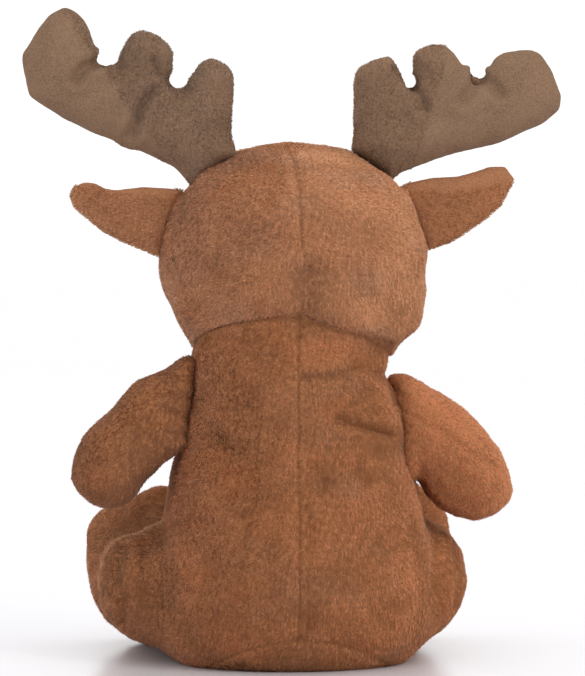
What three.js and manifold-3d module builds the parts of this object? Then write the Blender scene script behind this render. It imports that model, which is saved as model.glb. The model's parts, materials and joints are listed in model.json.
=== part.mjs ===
// A sitting plush deer: a pear-shaped body, a round head with two flat antlers and two ears,
// raised arms and forward legs. It faces -Y, its left is +X, and it sits on Z = 0. Millimetres.

import * as THREE from "three";
import { mergeVertices } from "three/addons/utils/BufferGeometryUtils.js";
import Module from "manifold-3d";

const wasm = await Module();
wasm.setup();

// Clearances and cloth
const gap = 0.3; // between pieces that touch
const seam = 0.3; // between two panels of a skin
const wall = 3; // backing cloth and pile of a skin
const grooveRunShare = 1.7; // how far a root groove runs past its edge, as a share of its radius
const flatCut = 0.5; // how deep the seat and the feet are pressed flat
const overrun = 400; // how far a cutter runs past what it cuts

// Body
const torsoTall = 166.5;
const torsoHalfWide = 66;
const torsoBack = 54;
const torsoFront = 61;
const sideSeamY = 2;
const baseRise = 14.5; // crown of the base seam at the back
const baseSeamRadius = 65;
const baseFrontRise = 16; // height of the base seam under the thighs
const bagRadius = 40;
const bagHalfTall = 15;
const torsoRows = [
  { heightShare: 0, wideShare: 0.76, backShare: 0.63, frontShare: 0.72 },
  { heightShare: 0.035, wideShare: 0.9, backShare: 0.78, frontShare: 0.85 },
  { heightShare: 0.095, wideShare: 0.975, backShare: 0.9, frontShare: 0.95 },
  { heightShare: 0.19, wideShare: 1, backShare: 1, frontShare: 1 },
  { heightShare: 0.305, wideShare: 0.955, backShare: 1, frontShare: 0.985 },
  { heightShare: 0.44, wideShare: 0.87, backShare: 0.945, frontShare: 0.9 },
  { heightShare: 0.57, wideShare: 0.79, backShare: 0.9, frontShare: 0.8 },
  { heightShare: 0.695, wideShare: 0.742, backShare: 0.87, frontShare: 0.66 },
  { heightShare: 0.825, wideShare: 0.695, backShare: 0.84, frontShare: 0.6 },
  { heightShare: 0.94, wideShare: 0.57, backShare: 0.755, frontShare: 0.3 },
];

// Neck: a round of filling that the head turns and nods on
const neckRadius = 49.7;
const neckSeamRadius = 44;
const neckSeamDrop = 23; // below the top of the body's full form
const neckSeamZ = torsoTall - neckSeamDrop;
const neckLean = THREE.MathUtils.degToRad(19);

// Head
const headOverlap = 21; // how far the head's full form reaches down past the neck seam
const headFootZ = neckSeamZ - headOverlap;
const headTall = 113.5;
const headTopZ = headFootZ + headTall;
const headHalfWide = 60.5;
const headBack = 48;
const headFront = 56;
const headSeamY = -4;
const headRows = [
  { heightShare: 0.07, wideShare: 0.6, backShare: 0.35, frontShare: 0.72 },
  { heightShare: 0.176, wideShare: 0.785, backShare: 0.68, frontShare: 0.87 },
  { heightShare: 0.28, wideShare: 0.91, backShare: 0.88, frontShare: 0.96 },
  { heightShare: 0.405, wideShare: 0.985, backShare: 0.98, frontShare: 1 },
  { heightShare: 0.565, wideShare: 1, backShare: 1, frontShare: 0.98 },
  { heightShare: 0.74, wideShare: 0.915, backShare: 0.87, frontShare: 0.86 },
  { heightShare: 0.865, wideShare: 0.727, backShare: 0.65, frontShare: 0.68 },
  { heightShare: 0.95, wideShare: 0.46, backShare: 0.35, frontShare: 0.44 },
];
const eyeRow = headRows[4];

// Muzzle, nose, mouth and eyes
const muzzleHalfWide = 25;
const muzzleHalfDeep = 25;
const muzzleHalfTall = 18;
const muzzleRise = 42; // above the foot of the head's full form
const muzzleZ = headFootZ + muzzleRise;
const muzzleSkin = 2.5;
const noseHalfWide = 8.5;
const noseHalfTall = 6;
const noseHalfDeep = 5;
const noseLift = THREE.MathUtils.degToRad(28);
const eyeRadius = 6;
const eyeSpread = THREE.MathUtils.degToRad(24);
const shankRadius = 2;
const washerRadius = 5.5;
const washerThick = 1.5;
const washerDepth = 2.2; // how far behind the cloth a washer sits
const shankTail = 1.5;
const stitchRadius = 0.7;
const mouthHalfWide = 8;
const mouthFrom = THREE.MathUtils.degToRad(8);
const mouthTo = THREE.MathUtils.degToRad(-24);
const mouthCurl = THREE.MathUtils.degToRad(8);

// Arms: upper and lower edges seen from behind, and the half thickness, from the shoulder to the hand
const armRootRadius = 10;
const armHalfThick = 18;
const armTipForward = 6;
const leftRootIn = 23; // inside the widest part of the body
const leftArmTall = 68.5;
const leftShoulderDrop = 28; // below the top of the body's full form
const leftArm = {
  side: 1,
  rootX: torsoHalfWide - leftRootIn,
  footZ: torsoTall - leftShoulderDrop - leftArmTall,
  reach: 57,
  tall: leftArmTall,
  tipShares: [1, 0.2],
  rows: [
    { upShares: [0.17, 0.975], lowShares: [0.26, 0.27], thickShare: 0.56 },
    { upShares: [0.295, 0.905], lowShares: [0.315, 0.185], thickShare: 0.72 },
    { upShares: [0.455, 0.83], lowShares: [0.4, 0.115], thickShare: 0.9 },
    { upShares: [0.6, 0.73], lowShares: [0.56, 0.035], thickShare: 1 },
    { upShares: [0.77, 0.57], lowShares: [0.7, 0], thickShare: 0.97 },
    { upShares: [0.89, 0.465], lowShares: [0.825, 0.025], thickShare: 0.83 },
    { upShares: [0.955, 0.35], lowShares: [0.93, 0.095], thickShare: 0.53 },
  ],
};
const rightRootIn = 24;
const rightArmTall = 66;
const rightShoulderDrop = 36.5;
const rightArm = {
  side: -1,
  rootX: torsoHalfWide - rightRootIn,
  footZ: torsoTall - rightShoulderDrop - rightArmTall,
  reach: 58,
  tall: rightArmTall,
  tipShares: [1, 0.18],
  rows: [
    { upShares: [0.165, 0.985], lowShares: [0.26, 0.28], thickShare: 0.56 },
    { upShares: [0.295, 0.94], lowShares: [0.32, 0.165], thickShare: 0.74 },
    { upShares: [0.45, 0.87], lowShares: [0.435, 0.06], thickShare: 0.92 },
    { upShares: [0.62, 0.765], lowShares: [0.55, 0.02], thickShare: 1 },
    { upShares: [0.775, 0.63], lowShares: [0.705, 0.005], thickShare: 1 },
    { upShares: [0.895, 0.475], lowShares: [0.845, 0.03], thickShare: 0.83 },
    { upShares: [0.965, 0.31], lowShares: [0.94, 0.1], thickShare: 0.5 },
  ],
};

// Legs: a round haunch at the hip, then a thigh and a foot whose sole faces forward
const hipX = 50;
const hipY = -16;
const hipZ = 36;
const hipRadius = 32; // about the line that the leg swings on
const hipHalfWide = 34;
const legReach = 93; // hip centre to sole
const footHalfWide = 33;
const footHalfTall = 37.5;
const footOut = 3;
const legShift = 2.5; // how far to the left of the middle the two legs sit
const footRise = 2.5;
const soleReachShare = 0.88;
const legDrop = THREE.MathUtils.degToRad(-4);
const legLift = THREE.MathUtils.degToRad(12);
const legSpare = THREE.MathUtils.degToRad(3); // swing that the body leaves room for past each end
const sweepRoom = 2; // air round a leg over its swing
const legRows = [
  { reachShare: 0.19, outShare: 0.2, riseShare: -0.6, wideShare: 1, tallShare: 0.81 },
  { reachShare: 0.37, outShare: 0.4, riseShare: -2.2, wideShare: 0.93, tallShare: 0.71 },
  { reachShare: 0.55, outShare: 0.6, riseShare: -1.5, wideShare: 0.92, tallShare: 0.8 },
  { reachShare: 0.73, outShare: 0.85, riseShare: 0.4, wideShare: 1, tallShare: 1 },
  { reachShare: 0.88, outShare: 0.94, riseShare: 0.8, wideShare: 0.94, tallShare: 0.95 },
  { reachShare: 0.97, outShare: 1, riseShare: 1, wideShare: 0.73, tallShare: 0.76 },
];

// Ears: outlines seen from behind, from the upper root round the tip to the lower root
const earHalfThick = 3.5;
const leftEarIn = 15; // inside the widest part of the head
const leftEarDrop = 53; // below the crown of the head
const leftEar = {
  side: 1,
  rootX: headHalfWide - leftEarIn,
  footZ: headTopZ - leftEarDrop,
  reach: 55,
  tall: 35,
  outlineShares: [
    [0.05, 0.88], [0.19, 0.915], [0.395, 0.935], [0.61, 0.895], [0.7, 0.91], [0.785, 0.985],
    [0.88, 1], [0.965, 0.93], [1, 0.815], [0.965, 0.66], [0.85, 0.5], [0.725, 0.345],
    [0.555, 0.2], [0.41, 0.11], [0.245, 0],
  ],
};
const rightEarIn = 14.5;
const rightEarDrop = 50.5;
const rightEar = {
  side: -1,
  rootX: headHalfWide - rightEarIn,
  footZ: headTopZ - rightEarDrop,
  reach: 55.5,
  tall: 39,
  outlineShares: [
    [0.04, 0.735], [0.13, 0.81], [0.295, 0.86], [0.53, 0.88], [0.685, 0.94], [0.785, 0.99],
    [0.915, 0.99], [1, 0.83], [0.965, 0.745], [0.88, 0.52], [0.745, 0.355], [0.585, 0.2],
    [0.465, 0.095], [0.265, 0],
  ],
};

// Antlers: outlines seen from behind, from the inner root over the three points to the outer root
const antlerHalfThick = 7.5;
const antlerEdge = 7.5; // radius of the rounded edge
const leftAntlerIn = 38.5; // inside the widest part of the head
const leftAntlerDrop = 25.5; // below the crown of the head
const leftAntler = {
  side: 1,
  rootX: headHalfWide - leftAntlerIn,
  footZ: headTopZ - leftAntlerDrop,
  reach: 100,
  tall: 86,
  outlineShares: [
    [0.025, 0.2], [0.05, 0.335], [0.04, 0.535], [0.04, 0.64], [0.07, 0.69], [0.145, 0.73],
    [0.2, 0.7], [0.235, 0.64], [0.26, 0.59], [0.3, 0.57], [0.33, 0.61], [0.32, 0.67],
    [0.31, 0.75], [0.33, 0.8], [0.38, 0.85], [0.465, 0.88], [0.515, 0.85], [0.545, 0.79],
    [0.57, 0.71], [0.605, 0.68], [0.645, 0.71], [0.665, 0.79], [0.685, 0.87], [0.71, 0.93],
    [0.75, 0.975], [0.805, 1], [0.87, 0.96], [0.92, 0.89], [1, 0.75], [0.995, 0.66],
    [0.965, 0.525], [0.815, 0.41], [0.66, 0.325], [0.465, 0.24], [0.31, 0.145], [0.225, 0.035],
  ],
};
const rightAntlerIn = 37;
const rightAntlerDrop = 22.5;
const rightAntler = {
  side: -1,
  rootX: headHalfWide - rightAntlerIn,
  footZ: headTopZ - rightAntlerDrop,
  reach: 99,
  tall: 66,
  outlineShares: [
    [0.025, 0.26], [0.04, 0.39], [0.04, 0.575], [0.04, 0.75], [0.06, 0.83], [0.12, 0.88],
    [0.175, 0.91], [0.225, 0.89], [0.255, 0.84], [0.275, 0.76], [0.31, 0.705], [0.335, 0.75],
    [0.32, 0.83], [0.305, 0.89], [0.33, 0.955], [0.4, 0.995], [0.465, 0.99], [0.51, 0.93],
    [0.545, 0.85], [0.595, 0.785], [0.635, 0.77], [0.665, 0.825], [0.68, 0.9], [0.73, 0.94],
    [0.85, 0.96], [0.905, 0.93], [0.955, 0.825], [1, 0.65], [0.99, 0.54], [0.91, 0.435],
    [0.7, 0.305], [0.42, 0.2], [0.255, 0.105], [0.215, 0.045],
  ],
};

// Facets
const bodySides = 26;
const muzzleSides = 20;
const legSides = 16;
const armSides = 12;
const neckSides = 36;
const hipSides = 18;
const archSides = 40;
const grooveSides = 18;
const smallSides = 12;
const threadSides = 8;
const threadSteps = 8;
const hipSteps = 4;
const rootSteps = 3;
const edgeSteps = 4;
const spreadLimit = 0.6; // holds a sharp corner back when an outline is drawn in

const pile = { roughness: 1, metalness: 0 };
const brownPile = { color: "#8f5b3d", ...pile };
const warmPile = { color: "#a9714f", ...pile };
const headPile = { color: "#9a6546", ...pile };
const antlerPile = { color: "#846650", ...pile };
const earPile = { color: "#99664a", ...pile };
const palePile = { color: "#cdb08f", ...pile };
const basePile = { color: "#774930", ...pile };
const fibre = { color: "#eceae4", ...pile };
const beads = { color: "#d8d8d2", roughness: 0.8, metalness: 0 };
const darkGloss = { color: "#15100d", roughness: 0.12, metalness: 0 };
const paleWasher = { color: "#e6e4dd", roughness: 0.5, metalness: 0 };
const darkThread = { color: "#2b1a12", roughness: 0.9, metalness: 0 };

// A closed mesh as a solid that faces out
function solidOf(geometry) {
  geometry.deleteAttribute("normal");
  geometry.deleteAttribute("uv");
  const merged = mergeVertices(geometry);
  const make = (triangles) => new wasm.Manifold(new wasm.Mesh({
    numProp: 3,
    vertProperties: merged.attributes.position.array,
    triVerts: new Uint32Array(triangles),
  }));
  const made = make(merged.index.array);
  return made.volume() > 0 ? made : make([...merged.index.array].reverse());
}

// Rings of points joined from a first point to a last point
function loft(first, rings, last) {
  const count = rings[0].length;
  const points = [first, ...rings.flat(), last];
  const index = [];
  const end = points.length - 1;
  for (let k = 0; k < count; k += 1) {
    const next = (k + 1) % count;
    index.push(0, 1 + next, 1 + k);
    for (let r = 0; r < rings.length - 1; r += 1) {
      const a = 1 + r * count;
      const b = a + count;
      index.push(a + k, a + next, b + next, a + k, b + next, b + k);
    }
    const top = 1 + (rings.length - 1) * count;
    index.push(top + k, top + next, end);
  }
  const geometry = new THREE.BufferGeometry().setFromPoints(points);
  geometry.setIndex(index);
  return solidOf(geometry);
}

// An ellipse of points about a centre, along two half axes
function ellipse(centre, across, along, sides) {
  return Array.from({ length: sides }, (_, k) => {
    const turn = (2 * Math.PI * k) / sides;
    return centre.clone().addScaledVector(across, Math.cos(turn)).addScaledVector(along, Math.sin(turn));
  });
}

const at = (x, y, z) => new THREE.Vector3(x, y, z);
const ball = (centre, radius, sides) => solidOf(
  new THREE.SphereGeometry(radius, sides, sides / 2).translate(centre.x, centre.y, centre.z),
);

// A radius whose facets clear a round of the given radius
const roundedUp = (radius, sides) => radius / Math.cos(Math.PI / sides) ** 2;

// A rod from one point to another
function rod(from, to, radius, sides) {
  const line = to.clone().sub(from);
  const geometry = new THREE.CylinderGeometry(radius, radius, line.length(), sides);
  geometry.applyQuaternion(new THREE.Quaternion().setFromUnitVectors(at(0, 1, 0), line.clone().normalize()));
  const middle = from.clone().lerp(to, 0.5);
  return solidOf(geometry.translate(middle.x, middle.y, middle.z));
}

const above = (solid, z) => solid.trimByPlane([0, 0, 1], z);
const behind = (solid, y) => solid.trimByPlane([0, 1, 0], y);
const before = (solid, y) => solid.trimByPlane([0, -1, 0], -y);
const leftOf = (solid, x) => solid.trimByPlane([1, 0, 0], x);
const rightOf = (solid, x) => solid.trimByPlane([-1, 0, 0], -x);

// A stack of level rings drawn in by inset all round
function stack(rows, size, inset) {
  const rings = rows.map((row) => {
    const back = row.backShare * size.back - inset;
    const front = -row.frontShare * size.front + inset;
    const z = size.footZ + row.heightShare * size.tall;
    const centre = at(0, (back + front) / 2, z);
    const across = at(row.wideShare * size.halfWide - inset, 0, 0);
    return ellipse(centre, across, at(0, (back - front) / 2, 0), bodySides);
  });
  const middle = (row) => (row.backShare * size.back - row.frontShare * size.front) / 2;
  const first = at(0, middle(rows[0]), size.footZ + inset);
  const last = at(0, middle(rows[rows.length - 1]), size.footZ + size.tall - inset);
  if (size.flatFoot) {
    rings[0].forEach((point) => point.setZ(first.z));
  }
  return loft(first, rings, last);
}

// Body form
const neckNormal = at(0, -Math.sin(neckLean), Math.cos(neckLean));
const neckSeamCentre = at(0, 0, neckSeamZ);
const neckRise = Math.sqrt(neckRadius ** 2 - neckSeamRadius ** 2);
const neckCentre = neckSeamCentre.clone().addScaledVector(neckNormal, -neckRise);
const seamLevel = neckNormal.dot(neckSeamCentre);

function torsoForm(inset) {
  const size = {
    footZ: -flatCut,
    tall: torsoTall + flatCut,
    halfWide: torsoHalfWide,
    back: torsoBack,
    front: torsoFront,
    flatFoot: true,
  };
  return above(stack(torsoRows, size, inset), inset);
}
const belowNeck = (solid) => solid.trimByPlane(neckNormal.clone().negate().toArray(), seam / 2 - seamLevel);

// Head form
function headForm(inset) {
  const size = {
    footZ: headFootZ,
    tall: headTall,
    halfWide: headHalfWide,
    back: headBack,
    front: headFront,
    flatFoot: false,
  };
  return stack(headRows, size, inset);
}
const headSocket = ball(neckCentre, roundedUp(neckRadius, neckSides), neckSides);

// Leg form, on the left; the right one is its mirror image, and both then shift
const hip = at(hipX, hipY, hipZ);
const hipTurns = Array.from({ length: hipSteps }, (_, k) => (Math.PI * (k + 1)) / (2 * hipSteps));

function legForm(inset, drop = 0, lift = 0) {
  const radius = hipRadius - inset;
  const halfWide = hipHalfWide - inset;
  const rings = hipTurns.map((turn) => {
    const centre = at(hipX, hipY + radius * Math.cos(turn), hipZ);
    const reach = Math.sin(turn);
    return ellipse(centre, at(halfWide * reach, 0, 0), at(0, 0, radius * reach), legSides);
  });
  legRows.forEach((row) => {
    const reach = row.reachShare * (legReach - inset);
    const up = reach * Math.sin(lift);
    const down = reach * Math.sin(drop);
    const middle = hipZ + row.riseShare * footRise + (up + down) / 2;
    const halfTall = row.tallShare * footHalfTall - inset + (up - down) / 2;
    const centre = at(hipX + row.outShare * footOut, hipY - reach, middle);
    const across = at(row.wideShare * footHalfWide - inset, 0, 0);
    rings.push(ellipse(centre, across, at(0, 0, halfTall), legSides));
  });
  const first = at(hipX, hipY + radius, hipZ);
  const last = at(hipX + footOut, hipY - legReach + inset, hipZ + footRise);
  return loft(first, rings, last);
}

// The room that a leg needs in the body over its whole swing
function legRoom() {
  const round = roundedUp(hipRadius + gap, hipSides);
  const socket = solidOf(
    new THREE.SphereGeometry(round, hipSides, hipSides / 2)
      .rotateZ(Math.PI / 2)
      .scale((hipHalfWide + gap) / (hipRadius + gap), 1, 1)
      .translate(...hip.toArray()),
  );
  const sweep = legForm(-sweepRoom, legDrop - legSpare, legLift + legSpare);
  return socket.add(before(sweep, hipY + hipRadius / 4));
}

const leftPlace = (solid) => solid.translate([legShift, 0, 0]);
const rightPlace = (solid) => leftPlace(solid.mirror([1, 0, 0]));

// Arm form: a rounded root edge, then the upper and lower edges of each row
function armEdges(arm) {
  const place = ([x, z]) => [arm.side * (arm.rootX + x * arm.reach), arm.footZ + z * arm.tall];
  const [upX, upZ] = place(arm.rows[0].upShares);
  const [lowX, lowZ] = place(arm.rows[0].lowShares);
  return { place, up: at(upX, sideSeamY, upZ), low: at(lowX, sideSeamY, lowZ) };
}

function armForm(arm, inset) {
  const { place, up, low } = armEdges(arm);
  const along = up.clone().sub(low).normalize();
  const inward = at(-arm.side * along.z, 0, arm.side * along.x);
  const rings = [];
  const ring = (top, foot, thick) => {
    const half = top.clone().sub(foot).multiplyScalar(0.5);
    const drawn = half.clone().setLength(half.length() - inset);
    rings.push(ellipse(foot.clone().add(half), drawn, at(0, thick - inset, 0), armSides));
  };
  const rootTurns = Array.from({ length: rootSteps - 1 }, (_, k) => (Math.PI * (k + 1)) / (2 * rootSteps));
  rootTurns.forEach((turn) => {
    const slip = inward.clone().multiplyScalar((armRootRadius - inset) * Math.cos(turn));
    ring(up.clone().add(slip), low.clone().add(slip), inset + (armRootRadius - inset) * Math.sin(turn));
  });
  arm.rows.forEach((row, step) => {
    const forward = sideSeamY - (armTipForward * step) / arm.rows.length;
    const [topX, topZ] = place(row.upShares);
    const [footX, footZ] = place(row.lowShares);
    ring(at(topX, forward, topZ), at(footX, forward, footZ), row.thickShare * armHalfThick);
  });
  const root = up.clone().lerp(low, 0.5).addScaledVector(inward, armRootRadius - inset);
  const [tipX, tipZ] = place(arm.tipShares);
  return loft(root, rings, at(tipX - arm.side * inset, sideSeamY - armTipForward, tipZ));
}

// The groove that a rounded root edge turns in
function groove(from, to, radius, past) {
  const along = to.clone().sub(from).setLength(past);
  const round = roundedUp(radius + gap, grooveSides);
  return rod(from.clone().sub(along), to.clone().add(along), round, grooveSides);
}

// A closed outline moved inward by a distance
function drawnIn(points, distance) {
  const inward = THREE.ShapeUtils.isClockWise(points) ? -1 : 1;
  return points.map((point, k) => {
    const last = points[(k + points.length - 1) % points.length];
    const next = points[(k + 1) % points.length];
    const a = point.clone().sub(last).normalize();
    const b = next.clone().sub(point).normalize();
    const side = new THREE.Vector2(-(a.y + b.y), a.x + b.x).normalize();
    const spread = Math.max(side.dot(new THREE.Vector2(-a.y, a.x)), spreadLimit);
    return point.clone().addScaledVector(side, (inward * distance) / spread);
  });
}

function outlineOf(form) {
  return form.outlineShares.map(([x, z]) => new THREE.Vector2(
    form.side * (form.rootX + x * form.reach),
    form.footZ + z * form.tall,
  ));
}

// A flat pillow with a rounded edge, from an outline in the XZ plane
function pillow(form, halfThick, edge, inset) {
  const points = outlineOf(form);
  const outline = THREE.ShapeUtils.isClockWise(points) ? points.reverse() : points;
  const depths = Array.from({ length: edgeSteps + 1 }, (_, k) => Math.PI * (k / edgeSteps - 0.5));
  const layers = depths.map((turn) => {
    const rim = drawnIn(outline, inset + (edge - inset) * (1 - Math.cos(turn)));
    const y = headSeamY + (halfThick - inset) * Math.sin(turn);
    return rim.map((point) => at(point.x, y, point.y));
  });
  const count = outline.length;
  const index = [];
  for (let layer = 0; layer < edgeSteps; layer += 1) {
    for (let k = 0; k < count; k += 1) {
      const a = layer * count;
      const next = (k + 1) % count;
      index.push(a + k, a + next, a + count + next, a + k, a + count + next, a + count + k);
    }
  }
  const top = edgeSteps * count;
  THREE.ShapeUtils.triangulateShape(drawnIn(outline, edge / 2), []).forEach(([a, b, c]) => {
    index.push(a, c, b, top + a, top + b, top + c);
  });
  const geometry = new THREE.BufferGeometry().setFromPoints(layers.flat());
  geometry.setIndex(index);
  return solidOf(geometry);
}

// The axis of a pillow's rounded root edge
function rootAxis(form, edge) {
  const rim = drawnIn(outlineOf(form), edge);
  const ends = [rim[0], rim[rim.length - 1]];
  return ends.map((point) => at(point.x, headSeamY, point.y));
}

// A moulded button: a dome outside, a shank through the cloth and a washer behind it
function button(place, outward, dome, skin, cloth) {
  const depth = cloth + washerDepth + washerThick + shankTail;
  const end = place.clone().addScaledVector(outward, -depth);
  const shank = rod(place.clone().addScaledVector(outward, shankRadius), end, shankRadius, smallSides);
  const washerFrom = place.clone().addScaledVector(outward, -(cloth + washerDepth));
  const washerTo = washerFrom.clone().addScaledVector(outward, -washerThick);
  const bore = rod(place, end, shankRadius + gap, smallSides);
  return {
    piece: dome.subtract(skin).add(shank),
    washer: rod(washerFrom, washerTo, washerRadius, smallSides).subtract(bore),
    bore: rod(place.clone().addScaledVector(outward, cloth), end, shankRadius + gap, smallSides),
    pocket: rod(
      place,
      end.clone().addScaledVector(outward, -gap),
      washerRadius + gap,
      smallSides,
    ),
  };
}

const group = new THREE.Group();

// The largest body of a solid, without the crumbs that a cut leaves
const larger = (a, b) => (b.volume() > a.volume() ? b : a);
const largest = (solid) => solid.decompose().reduce(larger);

// One named mesh from a solid
function put(name, solid, look) {
  const mesh = largest(solid).getMesh();
  const geometry = new THREE.BufferGeometry();
  geometry.setAttribute("position", new THREE.BufferAttribute(new Float32Array(mesh.vertProperties), 3));
  geometry.setIndex([...mesh.triVerts]);
  geometry.computeVertexNormals();
  const piece = new THREE.Mesh(geometry, new THREE.MeshStandardMaterial(look));
  piece.name = name;
  group.add(piece);
}

// Arms and their grooves
const arms = { left_arm: leftArm, right_arm: rightArm };
const armGrooves = Object.values(arms).map((arm) => {
  const { up, low } = armEdges(arm);
  return groove(up, low, armRootRadius, armRootRadius);
});

function makeArms() {
  Object.entries(arms).forEach(([name, arm]) => {
    const skin = armForm(arm, 0).subtract(armForm(arm, wall));
    put(`${name}_back`, behind(skin, sideSeamY + seam / 2 - armTipForward / 2), brownPile);
    put(`${name}_front`, before(skin, sideSeamY - seam / 2 - armTipForward / 2), warmPile);
    put(`${name}_stuffing`, armForm(arm, wall + gap), fibre);
  });
}

// Legs
function makeLegs() {
  const skin = above(legForm(0), 0).subtract(above(legForm(wall), wall));
  const soleY = hipY - soleReachShare * legReach;
  const splitX = hipX + footOut / 2;
  const tube = behind(skin, soleY + seam / 2);
  const pieces = [
    ["outer", leftOf(tube, splitX + seam / 2), brownPile],
    ["inner", rightOf(tube, splitX - seam / 2), brownPile],
    ["sole", before(skin, soleY - seam / 2), palePile],
    ["stuffing", above(legForm(wall + gap), wall + gap), fibre],
  ];
  pieces.forEach(([name, solid, look]) => {
    put(`left_leg_${name}`, leftPlace(solid), look);
    put(`right_leg_${name}`, rightPlace(solid), look);
  });
}

// Body: two back panels, a front panel, a base, pellets low down and filling above
function makeTorso() {
  const room = legRoom();
  const cuts = [leftPlace(room), rightPlace(room), ...armGrooves];
  const carve = (solid) => cuts.reduce((left, cut) => left.subtract(cut), belowNeck(solid));
  const skin = carve(torsoForm(0).subtract(torsoForm(wall)));
  const archAt = (y) => at(0, y, baseRise - baseSeamRadius);
  const baseForm = (extra) => rod(archAt(-overrun), archAt(overrun), baseSeamRadius + extra, archSides).add(
    solidOf(
      new THREE.BoxGeometry(overrun, overrun, overrun)
        .translate(0, sideSeamY + extra - overrun / 2, baseFrontRise + extra - overrun / 2),
    ),
  );
  const upper = skin.subtract(baseForm(seam));
  const back = behind(upper, sideSeamY + seam / 2);
  put("torso_back_left", leftOf(back, seam / 2), brownPile);
  put("torso_back_right", rightOf(back, -seam / 2), brownPile);
  put("torso_belly", before(upper, sideSeamY - seam / 2), warmPile);
  put("torso_base", skin.intersect(baseForm(0)), basePile);
  const core = carve(torsoForm(wall + gap));
  const bag = (extra) => solidOf(
    new THREE.SphereGeometry(1, smallSides, smallSides / 2)
      .scale(bagRadius + extra, bagRadius + extra, bagHalfTall + extra)
      .translate(0, 0, bagHalfTall),
  );
  put("pellet_bag", core.intersect(bag(0)), beads);
  put("torso_stuffing", core.subtract(bag(gap)), fibre);
}

// Neck filling: the cap of the neck ball above the neck seam
function makeNeck() {
  const cap = ball(neckCentre, neckRadius, neckSides).trimByPlane(neckNormal.toArray(), seamLevel + seam / 2);
  put("neck_filling", cap, fibre);
}

// Where a button sits on the widest ring of the head, and the way it faces
function eyeSeat(side) {
  const halfWide = eyeRow.wideShare * headHalfWide;
  const back = eyeRow.backShare * headBack;
  const front = -eyeRow.frontShare * headFront;
  const halfDeep = (back - front) / 2;
  const z = headFootZ + eyeRow.heightShare * headTall;
  const turn = side * eyeSpread;
  const place = at(halfWide * Math.sin(turn), (back + front) / 2 - halfDeep * Math.cos(turn), z);
  const outward = at(Math.sin(turn) / halfWide, -Math.cos(turn) / halfDeep, 0).normalize();
  return { place, outward };
}

// Muzzle
const muzzleY = -headFront;
function muzzleForm(inset) {
  return solidOf(
    new THREE.SphereGeometry(1, muzzleSides, muzzleSides / 2)
      .scale(muzzleHalfWide - inset, muzzleHalfDeep - inset, muzzleHalfTall - inset)
      .translate(0, muzzleY, muzzleZ),
  );
}
const muzzlePoint = (turn, lift, out) => at(
  (muzzleHalfWide + out) * Math.sin(turn) * Math.cos(lift),
  muzzleY - (muzzleHalfDeep + out) * Math.cos(turn) * Math.cos(lift),
  muzzleZ + (muzzleHalfTall + out) * Math.sin(lift),
);

// A thread laid on the muzzle
function thread(points) {
  const ring = ellipse(at(0, 0, 0), at(stitchRadius, 0, 0), at(0, stitchRadius, 0), threadSides);
  const round = new THREE.Shape(ring.map((point) => new THREE.Vector2(point.x, point.y)));
  return solidOf(new THREE.ExtrudeGeometry(round, {
    steps: threadSteps,
    extrudePath: new THREE.CatmullRomCurve3(points),
    bevelEnabled: false,
  }));
}

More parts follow.
